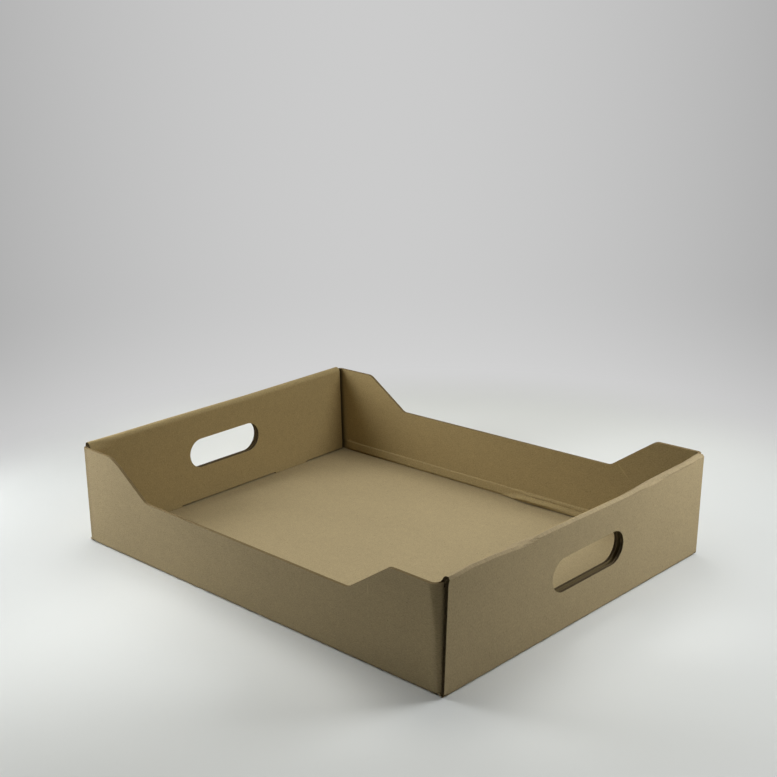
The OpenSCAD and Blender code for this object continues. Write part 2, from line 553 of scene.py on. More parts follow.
    def grid(self) -> np.ndarray:
        """Places all over the blank, close together where it bends and far apart where it is flat.

        Returns:
            The flat places, one a row, some of which lie outside the board.
        """
        space = self.spacing
        base = np.append(places(space.floor), np.linspace(self.long_fold, self.wall_foot, space.fold_rows))
        bend = (space.bend_start, self.bend_end / MM + space.bend_past, space.bend_step)
        flap = (self.bend_end / MM + space.flap_step, self.flap_end / MM, space.flap_step)
        rise = places(space.panel_rise)
        ends = np.concatenate([
            np.linspace(self.end_fold, self.panel_foot, space.fold_rows),
            self.panel_foot + rise - self.fold_outside,
            np.linspace(self.roll_start, self.roll_end, space.roll_steps + 1),
            self.roll_end + self.roll_level - rise])
        quarter = np.vstack([
            crossing(places(space.along), np.append(base, self.at_height(places(space.wall_rise)))),
            crossing(places(space.corner), base),
            crossing(places([bend, flap]), self.at_height(places(space.flap_rise))),
            crossing(ends, np.append(places(space.across), self.roll_half - space.panel_edge)),
        ])
        whole = np.vstack([quarter * sign for sign in QUADRANTS])
        return np.unique(whole.round(GRID_DIGITS), axis=0)

    def triangles(self) -> tuple[np.ndarray, np.ndarray]:
        """Cuts the blank into triangles.

        Returns:
            The flat places, one a row, and the triangles as rows of three indices.
        """
        loops = [self.outline(), *self.holes()]
        rim = np.vstack(loops)
        edges, start = [], 0
        for loop in loops:
            ring = start + np.arange(len(loop))
            edges += list(zip(ring.tolist(), np.roll(ring, -1).tolist()))
            start += len(loop)
        near = kdtree.KDTree(len(rim))
        for index, place in enumerate(rim):
            near.insert((*place, 0), index)
        near.balance()
        inner = self.grid()
        inner = inner[self.holds(inner)]
        apart = np.array([near.find((*place, 0))[2] for place in inner])
        points = np.vstack([rim, inner[apart > self.clearance]])
        made = delaunay_2d_cdt([Vector(point) for point in points], edges, [], 0, WELD)
        flat = np.array([tuple(place) for place in made[0]])
        faces = np.array(made[2])
        faces = faces[self.holds(flat[faces].mean(1))]
        used, faces = np.unique(faces, return_inverse=True)
        return flat[used], faces.reshape(-1, 3)

    def fold(self, flat: np.ndarray) -> tuple[np.ndarray, np.ndarray]:
        """Folds flat places up into the tray.

        Args:
            flat: Flat places, one a row.

        Returns:
            The places on the middle of the sheet's thickness, and the directions to its inner face.
        """
        sign = np.where(flat < 0, -1.0, 1.0)
        u, v = np.abs(flat).T
        turn = np.clip((v - self.long_fold) / self.fold_mid, 0, QUARTER)
        z = self.fold_outside - self.fold_mid * np.cos(turn) + np.maximum(v - self.wall_foot, 0)
        place = np.stack([u, np.minimum(v, self.long_fold) + self.fold_mid * np.sin(turn), z], 1)
        inward = np.stack([0 * u, -np.sin(turn), np.cos(turn)], 1)
        wall = v > self.wall_foot + SLACK
        radius = self.bend_radius(z, sign)
        start = self.flap_face - radius
        mid = radius - self.half_board
        swing = np.clip((u - start) / mid, 0, QUARTER)
        past = np.maximum(u - start - mid * QUARTER, 0)
        bent_x = np.minimum(u, start) + mid * np.sin(swing)
        bent_y = self.half_width - radius + mid * np.cos(swing) - past
        place[wall] = np.stack([bent_x, bent_y, z], 1)[wall]
        inward[wall] = np.stack([-np.sin(swing), -np.cos(swing), 0 * u], 1)[wall]
        end = (u > self.end_fold) & (v < (self.flap_foot + self.panel_half) / 2)
        turn = np.clip((u - self.end_fold) / self.fold_mid, 0, QUARTER)
        over = np.clip((u - self.roll_start) / self.roll_mid, 0, math.pi)
        out = np.minimum(u, self.end_fold) + self.fold_mid * np.sin(turn) - self.roll_mid * (1 - np.cos(over))
        up = np.clip(u, self.panel_foot, self.roll_start) - self.panel_foot - np.maximum(u - self.roll_end, 0)
        up += self.fold_outside - self.fold_mid * np.cos(turn) + self.roll_mid * np.sin(over)
        place[end] = np.stack([out, v, up], 1)[end]
        inward[end] = np.stack([-np.sin(turn + over), 0 * u, np.cos(turn + over)], 1)[end]
        place[:, :2] *= sign
        inward[:, :2] *= sign
        return place, inward

    def roll_facet(self, along: np.ndarray, crease: np.ndarray) -> tuple[np.ndarray, np.ndarray]:
        """How far the roll's round section moves when its outer side is pressed to a facet.

        Args:
            along: Distances round the section, from the start of the roll.
            crease: Where on it the facet's lower crease lies.

        Returns:
            The move outwards and the move upwards.
        """
        radius = self.roll_mid
        whole = math.pi * radius
        turn = np.clip(along / radius, 0, math.pi)
        below = np.minimum(along, 0) - np.maximum(along - whole, 0)
        tip = -self.facet_tip
        run = np.hypot(radius - tip, radius - crease)
        top = crease + run
        share = np.clip((along - crease) / run, 0, 1)
        down = np.clip((along - top) / (whole - top), 0, 1) * QUARTER
        out = radius + (tip - radius) * share - (radius + tip) * np.sin(down)
        up = np.where(along < crease, along, crease + (radius - crease) * share) - radius * (1 - np.cos(down))
        inside = along < whole
        return (np.where(inside, out - radius * np.cos(turn), 0.0),
                np.where(inside, up - radius * np.sin(turn) - below, 0.0))

    def relax(self, flat: np.ndarray, place: np.ndarray) -> np.ndarray:
        """Lets the folded sheet settle: walls that lean a little, and rolls that have sunk.

        Args:
            flat: Flat places, one a row.
            place: The same places folded up.

        Returns:
            The places as they have settled.
        """
        settled = place.copy()
        x, y, z = place.T
        u, v = np.abs(flat).T
        along, across = x / self.length + 0.5, y / self.width + 0.5
        panel = (u > self.end_fold) & (v < self.panel_half + SLACK)
        for form in self.ends:
            roll, sign = form.roll, form.end.value
            here = panel & (np.sign(x) == sign)
            settled[:, 2] += here * smoothstep(z, *self.sag_heights) * roll.rise(y)
            tip = here * smoothstep(z, *self.pinch_heights) * smoothstep(-y, *self.pinch_places)
            settled[:, 0] -= tip * roll.tip_pinch * (x - sign * self.half_length)
            if roll.crease is not None:
                out, up = self.roll_facet(u - self.roll_start, roll.crease_place(y))
                settled[:, 0] += here * out * sign
                settled[:, 2] += here * up
        front = ~panel & (y < self.board.thickness - self.half_width + self.dent_margin)
        dent = np.exp(-((x - self.dent_place) / self.dent_width) ** 2) * smoothstep(z, *self.dent_heights)
        settled[:, 2] -= front * self.dent_depth * dent
        lift = np.maximum(z - self.fold_outside, 0) / self.lean_height
        level = np.clip(z / self.roll_level, 0, 1)
        for corner in self.corners:
            pull = corner.pull_low + (corner.pull_high - corner.pull_low) * level
            pull *= panel & corner.owns(x, y)
            settled[:, 1] -= corner.side.value * pull * smoothstep(np.abs(y), *self.pull_places)
            share = along if corner.end is EndSide.RIGHT else 1 - along
            share = share * (across if corner.side is LongSide.BACK else 1 - across)
            held = np.where(panel & (corner.side is LongSide.FRONT), self.panel_hold, 1.0)
            tucked = np.where(panel | (corner.lean[0] < 0), 1.0, self.wall_tuck)
            settled += np.outer(lift * share, corner.lean) * np.stack([tucked, held, 1 - panel], 1)
        settled[:, 1] -= self.left_taper * (2 * across - 1) * (1 - along)
        return settled

    def placed(self, flat: np.ndarray, off: np.ndarray) -> np.ndarray:
        """Folds and settles flat places that lie off the sheet's middle.

        Args:
            flat: Flat places, one a row.
            off: Distance of each off the sheet's middle, towards its inner face.

        Returns:
            The places as they have settled.
        """
        place, inward = self.fold(flat)
        settled = self.relax(flat, place)
        u, v = np.abs(flat).T
        roll = (u > self.roll_start - self.normal_reach) & (u < self.roll_end + self.normal_reach)
        roll &= v < self.panel_half
        shifted = [flat[roll] + shift for shift in ((self.normal_step, 0), (0, self.normal_step))]
        square = np.cross(*[self.relax(moved, self.fold(moved)[0]) - settled[roll] for moved in shifted])
        square *= np.sign((square * inward[roll]).sum(1))[:, None]
        inward[roll] = square / np.linalg.norm(square, axis=1)[:, None]
        return settled + inward * off[:, None]


@dataclass(frozen=True)
class FoldBead:
    """The inner liner's bead along a base fold: one flat band that buckles into two on the back wall.

    The bands are heights and bulges in millimetres, and the ridge's share goes by places along the tray.
    """

    single: Profile = ((2.9, 0.0), (3.3, 0.9), (4.4, 1.5), (10.6, 0.9), (11.3, 0.0))
    double: Profile = ((2.9, 0.0), (3.0, 2.2), (3.6, 3.2), (5.2, 2.9), (8.0, 1.5),
                       (8.4, 0.7), (8.8, 1.6), (10.8, 1.0), (11.4, 0.0))
    ridge: Profile = ((2.9, 0.0), (2.95, 3.0), (5.9, 5.2), (6.3, 5.0), (8.6, 1.9),
                      (9.0, 0.9), (9.4, 1.8), (11.0, 1.1), (11.6, 0.0))
    ridge_share: Profile = ((14, 0.0), (32, 1.0), (46, 1.0), (86, 0.0))
    split_heights: tuple[float, float] = (3 * MM, 7 * MM)
    split_places: tuple[float, float] = (2 * MM, 18 * MM)
    split_width: float = 14 * MM
    taper: tuple[float, float] = (184 * MM, 192 * MM)

    def bulge(self, along: np.ndarray, height: np.ndarray, side: LongSide) -> np.ndarray:
        """How far the liner stands off its wall.

        Args:
            along: Places along the tray.
            height: Heights above the table.
            side: The wall that carries the bead.

        Returns:
            The bulges, all 0 above the bead.
        """
        single = read(self.single, height) * MM
        ends = 1 - smoothstep(np.abs(along), *self.taper)
        if side is LongSide.FRONT:
            return single * ends
        double = read(self.double, height) * MM
        ridge = read(self.ridge, height) * MM
        double += (ridge - double) * read(self.ridge_share, along)
        start = np.interp(height, self.split_heights, self.split_places)
        share = np.clip((along - start) / self.split_width, 0, 1)
        return (single + (double - single) * share) * ends


Operand = Union["Wire", float, int]


@dataclass(frozen=True)
class Wire:
    """A value in a sheet of nodes, which Python's operators work on by adding Math nodes."""

    nodes: "NodeSheet"
    socket: Optional[bpy.types.NodeSocket]

    def _math(self, operation: str, first: Operand, second: Operand) -> "Wire":
        """Adds one Math node."""
        return self.nodes.node("ShaderNodeMath", {"operation": operation}, {0: first, 1: second})

    def __add__(self, other: Operand) -> "Wire":
        """self + other."""
        return self._math("ADD", self, other)

    def __radd__(self, other: Operand) -> "Wire":
        """other + self."""
        return self._math("ADD", other, self)

    def __sub__(self, other: Operand) -> "Wire":
        """self - other."""
        return self._math("SUBTRACT", self, other)

    def __rsub__(self, other: Operand) -> "Wire":
        """other - self."""
        return self._math("SUBTRACT", other, self)

    def __mul__(self, other: Operand) -> "Wire":
        """self * other."""
        return self._math("MULTIPLY", self, other)

    def __rmul__(self, other: Operand) -> "Wire":
        """other * self."""
        return self._math("MULTIPLY", other, self)

    def __truediv__(self, other: Operand) -> "Wire":
        """self / other."""
        return self._math("DIVIDE", self, other)

    def __rtruediv__(self, other: Operand) -> "Wire":
        """other / self."""
        return self._math("DIVIDE", other, self)


class NodeSheet:
    """The nodes of one material or of the world."""

    def __init__(self, owner: Union[bpy.types.Material, bpy.types.World]) -> None:
        """Clears the owner's nodes.

        Args:
            owner: The new material or world.
        """
        owner.use_nodes = True
        self.owner = owner
        self.tree = owner.node_tree
        self.tree.nodes.clear()

    def node(self, kind: str, settings: Optional[Mapping[str, Any]] = None,
             inputs: Optional[Mapping[Union[int, str], Any]] = None, output: Union[int, str] = 0) -> Wire:
        """Adds one node.

        Args:
            kind: The node's type.
            settings: What is set on the node itself.
            inputs: A value or a wire for each socket that is set.
            output: The socket that the wire leaves from.

        Returns:
            The wire from that output.
        """
        made = self.tree.nodes.new(kind)
        for name, value in (settings or {}).items():
            setattr(made, name, value)
        for key, value in (inputs or {}).items():
            if isinstance(value, Wire):
                self.tree.links.new(value.socket, made.inputs[key])
            else:
                made.inputs[key].default_value = value
        return Wire(self, made.outputs[output] if made.outputs else None)

    def attribute(self, name: str, output: str = "Fac") -> Wire:
        """One of the mesh's own attributes."""
        return self.node("ShaderNodeAttribute", {"attribute_name": name}, None, output)

    def ramp(self, value: Wire, low: float, high: float) -> Wire:
        """A smooth rise from 0 at low to 1 at high."""
        return self.node("ShaderNodeMapRange", {"interpolation_type": "SMOOTHSTEP"},
                         {"Value": value, "From Min": low, "From Max": high})

    def blend(self, share: Operand, first: Any, second: Any) -> Wire:
        """A mix of two colours, by the share of the second."""
        return self.node("ShaderNodeMix", {"data_type": "RGBA"}, {0: share, 6: first, 7: second}, 2)

    def scale(self, vector: Wire, by: Operand) -> Wire:
        """A vector or colour times a value."""
        return self.node("ShaderNodeVectorMath", {"operation": "SCALE"}, {0: vector, "Scale": by})

    def vector(self, operation: str, first: Wire, second: Sequence[float] = (0, 0, 0),
               output: str = "Vector") -> Wire:
        """Adds one Vector Math node of a vector and a fixed second one."""
        inputs = {0: first, 1: tuple(second)}
        return self.node("ShaderNodeVectorMath", {"operation": operation}, inputs, output)

    def distance(self, vector: Wire, place: Sequence[float] = (0, 0, 0)) -> Wire:
        """Distance from a place."""
        return self.vector("DISTANCE", vector, place, "Value")

    def dot(self, vector: Wire, way: Sequence[float]) -> Wire:
        """How far a vector goes along a direction."""
        return self.vector("DOT_PRODUCT", vector, way, "Value")

    def bump(self, height: Wire, strength: float, depth: float) -> Wire:
        """A normal that follows a fine relief."""
        return self.node("ShaderNodeBump", None, {"Height": height, "Strength": strength, "Distance": depth})

    def shader(self, inputs: Mapping[str, Any]) -> Wire:
        """A Principled shader, with a value or a wire for each socket that is set."""
        return self.node("ShaderNodeBsdfPrincipled", None, inputs)

    def close(self, surface: Wire) -> bpy.types.Material:
        """Ends the material with a shader, and returns it."""
        self.node("ShaderNodeOutputMaterial", None, {"Surface": surface})
        return self.owner


@dataclass(frozen=True)
class Speckle:
    """Noise over the flat sheet, from 0 to 1: its cycles a metre and how rough it is."""

    cycles: Place
    detail: float
    roughness: float

    def wire(self, nodes: NodeSheet, flat: Wire) -> Wire:
        """The noise at the flat places."""
        return nodes.node("ShaderNodeTexNoise", None, {
            "Vector": nodes.vector("MULTIPLY", flat, self.cycles), "Scale": 1.0,
            "Detail": self.detail, "Roughness": self.roughness})


@dataclass(frozen=True)
class StressMark:
    """A thin pale crease in the liner, where the board was bent back a little."""

    start: tuple[float, float]
    end: tuple[float, float]
    inside: bool
    width: float = 0.7 * MM
    fade: float = 3 * MM

    def mask(self, nodes: NodeSheet, flat: Wire, liner: Wire) -> Wire:
        """Where the mark shows on the sheet.

        Args:
            nodes: The material's nodes.
            flat: The flat places.
            liner: 1 on the inner liner and 0 on the outer.

        Returns:
            1 on the mark and 0 away from it.
        """
        run = np.array(self.end) - np.array(self.start)
        length = float(np.hypot(*run))
        way = (run / length).tolist()
        gone = nodes.vector("SUBTRACT", flat, (*self.start, 0))
        along = nodes.dot(gone, (*way, 0))
        aside = nodes.dot(gone, (-way[1], way[0], 0))
        shown = nodes.ramp(aside * aside, self.width ** 2, 0.0) * nodes.ramp(along, 0.0, self.fade)
        face = liner if self.inside else 1 - liner
        return shown * nodes.ramp(along, length, length - self.fade) * face


@dataclass(frozen=True)
class KraftLiner:
    """Unbleached kraft paper on both faces of the board: matte tan with fine fibres and soft clouds."""

    outer: Colour = linear(160, 142, 106)
    floor: Colour = linear(158, 141, 104)
    # Painted shade: the upright inner faces, which stand in less light than the floor, take a browner, more
    # saturated colour than the floor of the same liner.
    wall: Colour = linear(163, 142, 96)
    # Painted shade: how far the bend attribute darkens the outer and the inner liner.
    outer_painted_shade: float = 0.22
    inner_painted_shade: float = 0.8
    clouds: Speckle = Speckle((18, 22, 900), 2.0, 0.5)
    mottle: Speckle = Speckle((140, 190, 900), 3.0, 0.6)
    grain: Speckle = Speckle((700, 1500, 900), 2.0, 0.65)
    fibres: Speckle = Speckle((260, 1900, 900), 1.0, 0.5)
    cloud_depth: float = 0.10
    mottle_depth: float = 0.2
    grain_depth: float = 0.9
    fleck_depth: float = 0.35
    fleck_start: float = 0.66
    fleck_full: float = 0.78
    roughness: float = 0.8
    mottle_rough: float = 0.12
    grain_rough: float = 0.1
    mottle_relief: float = 0.5
    grain_relief: float = 0.6
    fibre_relief: float = 0.4
    bump_strength: float = 0.25
    bump_depth: float = 0.06 * MM
    gloss: float = 0.2
    mark_depth: float = 0.18
    marks: tuple[StressMark, ...] = (
        StressMark((121 * MM, 205 * MM), (134 * MM, 193 * MM), True),
        StressMark((134.5 * MM, -211.9 * MM), (134.5 * MM, -199.9 * MM), False),
    )

    def material(self) -> bpy.types.Material:
        """Builds the material from the blank's own flat places, so that it runs over every fold.

        Returns:
            The finished material.
        """
        nodes = NodeSheet(bpy.data.materials.new("kraft_liner"))
        flat = nodes.attribute("flat", "Vector")
        liner, upright, bend = (nodes.attribute(name) for name in ("liner", "upright", "bend"))
        kinds = (self.clouds, self.mottle, self.grain, self.fibres)
        clouds, mottle, grain, fibre = (kind.wire(nodes, flat) for kind in kinds)
        dark = nodes.ramp(fibre, self.fleck_start, self.fleck_full)
        light = nodes.ramp(fibre, 1 - self.fleck_start, 1 - self.fleck_full)
        tone = 1 + (clouds - NOISE_MIDDLE) * self.cloud_depth + (mottle - NOISE_MIDDLE) * self.mottle_depth
        tone = tone + (grain - NOISE_MIDDLE) * self.grain_depth
        tone = tone - dark * self.fleck_depth + light * (self.fleck_depth / 2)
        for mark in self.marks:
            tone = tone + mark.mask(nodes, flat, liner) * self.mark_depth
        # Painted shade: the bend attribute darkens the liner in the corner bends, in the gaps inside the end
        # walls and on the roll tops.
        shade = 1 - bend * (self.outer_painted_shade + liner * (self.inner_painted_shade - self.outer_painted_shade))
        # Painted shade: upright inner faces take the browner wall colour, the floor its own.
        inner = nodes.blend(upright, self.floor, self.wall)
        colour = nodes.scale(nodes.blend(liner, self.outer, inner), tone * shade)
        rough = self.roughness + (mottle - NOISE_MIDDLE) * self.mottle_rough
        rough = rough + (grain - NOISE_MIDDLE) * self.grain_rough
        height = grain * self.grain_relief + fibre * self.fibre_relief + mottle * self.mottle_relief
        return nodes.close(nodes.shader({
            "Base Color": colour, "Roughness": rough, "Specular IOR Level": self.gloss,
            "Normal": nodes.bump(height, self.bump_strength, self.bump_depth)}))


@dataclass(frozen=True)
class CutEdge:
    """The die-cut edge of the board, where the liners and the fluted medium show."""

    wall: Colour = linear(118, 100, 66)
    # Painted shade: the cut edges past 198 mm along the tray, on the end walls and the flaps inside them, are
    # darker than the long walls' edges, for slot rims and corner crevices in shadow.
    end: Colour = linear(88, 74, 50)
    end_start: float = 198 * MM
    end_run: float = 4 * MM
    grain: Speckle = Speckle((900, 900, 2500), 3.0, 0.7)
    grain_depth: float = 0.35
    roughness: float = 0.95
    bump_strength: float = 0.3
    bump_depth: float = 0.1 * MM
    gloss: float = 0.2

    def material(self) -> bpy.types.Material:
        """Builds the material, a rougher and browner paper than the liners.

        Returns:
            The finished material.
        """
        nodes = NodeSheet(bpy.data.materials.new("cut_edge"))
        flat = nodes.attribute("flat", "Vector")
        grain = self.grain.wire(nodes, flat)
        reach = nodes.distance(nodes.vector("MULTIPLY", flat, (1, 0, 0)))
        # Painted shade on the end walls' cut edges.
        at_end = nodes.ramp(reach, self.end_start, self.end_start + self.end_run)
        tone = 1 + (grain - NOISE_MIDDLE) * self.grain_depth
        return nodes.close(nodes.shader({
            "Base Color": nodes.scale(nodes.blend(at_end, self.wall, self.end), tone),
            "Roughness": self.roughness, "Specular IOR Level": self.gloss,
            "Normal": nodes.bump(grain, self.bump_strength, self.bump_depth)}))


@dataclass
class FoldedTray:
    """The tray's one sheet, folded up, with its two liners and its cut edges."""

    blank: TrayBlank
    bead: FoldBead = FoldBead()
    crease_angle: float = math.radians(28)
    mitre_limit: float = 1.2
    left_turn: float = 1.5 * MM
    right_turn: float = 0.9 * MM
    bend_lead: float = 3 * MM
    bend_run: float = 5 * MM
    # Painted shade on the faces inside each end wall that face the gap between its two panels, seen through
    # the hand slots.
    gap_shade: float = 0.6
    # Painted shade on the top of the left roll.
    crest_shade: float = 0.25
    crest_fade: tuple[float, float] = (0.5 * MM, 4 * MM)
    # Painted shade on the strip along the right roll, fading in from 20 mm to 90 mm towards the back.
    strip_painted_shade: float = 0.85
    strip_shade_start: float = 2.4 * MM
    strip_shade_places: tuple[float, float] = (20 * MM, 90 * MM)

    def rim(self, flat: np.ndarray, faces: np.ndarray) -> tuple[np.ndarray, np.ndarray]:
        """Finds the cut edges of the blank.

        Args:
            flat: Flat places, one a row.
            faces: Triangles as rows of three indices.

        Returns:
            The cut edges as rows of two indices, with the board on their left, and for every
            place the flat direction into the board, which is 0 away from the cuts.
        """
        runs = np.vstack([faces[:, [0, 1]], faces[:, [1, 2]], faces[:, [2, 0]]])
        known = {(a, b) for a, b in runs.tolist()}
        cuts = np.array([(a, b) for a, b in runs.tolist() if (b, a) not in known])
        along = flat[cuts[:, 1]] - flat[cuts[:, 0]]
        along /= np.linalg.norm(along, axis=1)[:, None]
        left = np.stack([-along[:, 1], along[:, 0]], 1)
        inward = np.zeros_like(flat)
        for column in (0, 1):
            np.add.at(inward, cuts[:, column], left)
        size = (inward ** 2).sum(1)
        return cuts, inward * (2 / np.maximum(size, self.mitre_limit))[:, None]

    def bulges(self, flat: np.ndarray) -> np.ndarray:
        """How far the inner liner stands proud of the sheet.

        Args:
            flat: Flat places, one a row.

        Returns:
            The bulge at each place.
        """
        found = np.zeros(len(flat))
        u, v = flat.T
        height = np.abs(v) - self.blank.wall_foot + self.blank.fold_outside
        for side in LongSide:
            here = (np.sign(v) == side.value) & (np.abs(v) > self.blank.wall_foot)
            found[here] = self.bead.bulge(u[here], height[here], side)
        return found

    def edge_layers(self, edge: np.ndarray, inward: np.ndarray) -> list[tuple[np.ndarray, np.ndarray]]:
        """The lines that run along a cut edge between the two faces, with the medium recessed.

        Args:
            edge: Flat places on the cuts, one a row.
            inward: The flat directions into the board there.

        Returns:
            For each line, from the inner face to the outer, its flat places and their
            distances off the sheet's middle.
        """
        board = self.blank.board
        at_end = np.abs(edge[:, 0]) > self.blank.end_fold
        deep = edge + inward * np.where(at_end, board.flute_recess, board.wall_recess)[:, None]
        liner = np.full(len(edge), self.blank.half_board - board.liner)
        level = board.medium_level(edge[:, 0])
        upper, lower = level + board.medium / 2, level - board.medium / 2
        return [(edge, liner), (deep, liner), (deep, upper), (edge, upper),
                (edge, lower), (deep, lower), (deep, -liner), (edge, -liner)]

    def shades(self, spread: np.ndarray) -> dict[str, np.ndarray]:
        """What the liner's finish has to know of each point.

        Args:
            spread: The points' flat places and distances off the sheet's middle, one a row.

        Returns:
            By attribute name: 1 for the tray's inner liner, how much painted shade the corner bends,
            the gaps inside the end walls and the roll tops take, and how upright the board stands.
        """
        blank = self.blank
        u, v, off = spread.T
        along, across = np.abs(u), np.abs(v)
        turn = np.where(u < 0, blank.roll_start + self.left_turn, blank.roll_end - self.right_turn)
        over = (along > turn) & (across < blank.panel_half)
        panel = (along > blank.panel_foot) & (across < blank.panel_half)
        # Painted shade in the corner bends: it rises towards the flap, where the outer liner is about a fifth
        # darker and the inner liner, which shows only in the crevices at the corners, is made dark.
        bend = (along - blank.slit_start + self.bend_lead) / self.bend_run * (across > blank.wall_foot)
        top = along - (blank.roll_start + blank.roll_end) / 2
        # Painted shade on the left roll's top, from just past its start to a few millimetres past its middle.
        crest = over * (u < 0) * (1 - smoothstep(top, *self.crest_fade))
        # Painted shade on the right roll's strip, fading in from 20 mm to 90 mm towards the back. Past the
        # roll it also runs down the inside of the right end's inner panel and darkens it there to about a
        # third.
        strip = panel & (off < 0) & (u > blank.roll_start + self.strip_shade_start)
        strip_shade = strip * smoothstep(v, *self.strip_shade_places)
        past = np.maximum(along - blank.end_fold, across - blank.long_fold) / blank.fold_mid
        dark = [np.clip(bend, 0, 1), self.gap_shade * (panel & (off > 0)),
                self.crest_shade * crest, self.strip_painted_shade * strip_shade]
        return {"liner": (off > 0) | over, "bend": np.maximum.reduce(dark), "upright": np.clip(past, 0, 1)}

    def build(self) -> bpy.types.Object:
        """Makes the folded sheet as one closed mesh.

        Returns:
            The new object, with no materials yet.
        """
        flat, faces = self.blank.triangles()
        first, second, third = (flat[faces[:, corner]] for corner in range(3))
        signed = np.cross(second - first, third - first)
        faces[signed < 0] = faces[signed < 0][:, ::-1]
        cuts, inward = self.rim(flat, faces)
        at_rim = np.unique(cuts)
        half = np.full(len(flat), self.blank.half_board)
        sheets = [(flat, half), (flat, -half), *self.edge_layers(flat[at_rim], inward[at_rim])]
        raised = [half + self.bulges(flat)] + [off for _, off in sheets[1:]]
        points = np.vstack([self.blank.placed(where, off) for (where, _), off in zip(sheets, raised)])
        index = np.full(len(flat), -1)
        index[at_rim] = np.arange(len(at_rim)) + 2 * len(flat)
        rings = [cuts, *(index[cuts] + row * len(at_rim) for row in range(len(sheets) - 2)), cuts + len(flat)]
        strips = np.vstack([np.hstack([low, high[:, ::-1]]) for high, low in zip(rings, rings[1:])])
        skins = np.vstack([faces, faces[:, ::-1] + len(flat)])
        mesh = bpy.data.meshes.new("folded_tray")
        mesh.from_pydata(points.tolist(), [], skins.tolist() + strips.tolist())
        finish = np.repeat([0, 1], [len(skins), len(strips)]).astype(np.int32)
        mesh.polygons.foreach_set("material_index", finish)
        spread = np.vstack([np.column_stack(sheet) for sheet in sheets]).astype(np.float32)
        mesh.attributes.new("flat", "FLOAT_VECTOR", "POINT").data.foreach_set("vector", spread.ravel())
        for name, values in self.shades(spread).items():
            mesh.attributes.new(name, "FLOAT", "POINT").data.foreach_set("value", values.astype(np.float32))
        mesh.polygons.foreach_set("use_smooth", np.ones(len(mesh.polygons), bool))
        mesh.set_sharp_from_angle(angle=self.crease_angle)
        mesh.validate()
        made = bpy.data.objects.new("folded_tray", mesh)
        bpy.context.scene.collection.objects.link(made)
        return made

    def dress(self, tray: bpy.types.Object, liner: KraftLiner, edge: CutEdge) -> None:
        """Puts the finishes on the folded sheet and seats it on the frame.

        Args:
            tray: The folded sheet.
            liner: Finish of the two faces.
            edge: Finish of the cut edges.
        """
        tray.data.materials.append(liner.material())
        tray.data.materials.append(edge.material())
        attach(tray, "root")
        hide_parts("tray")


@dataclass(frozen=True)
class Softbox:
    """A square soft lamp."""

    name: str
    place: Place
    size: float
    power: float
    aim: Place = (0.0, 0.0, 0.0)
    colour: tuple[float, float, float] = WHITE

    def build(self) -> bpy.types.Object:
        """Makes the lamp and turns it to its aim.

        Returns:
            The new lamp, which the camera doesn't see.
        """
        lamp = bpy.data.lights.new(self.name, "AREA")
        lamp.energy = self.power
        lamp.size = self.size
        lamp.color = self.colour
        made = bpy.data.objects.new(self.name, lamp)
        made.location = self.place
        made.rotation_euler = (Vector(self.aim) - Vector(self.place)).to_track_quat("-Z", "Y").to_euler()
        made.visible_camera = False
        bpy.context.scene.collection.objects.link(made)
        return made


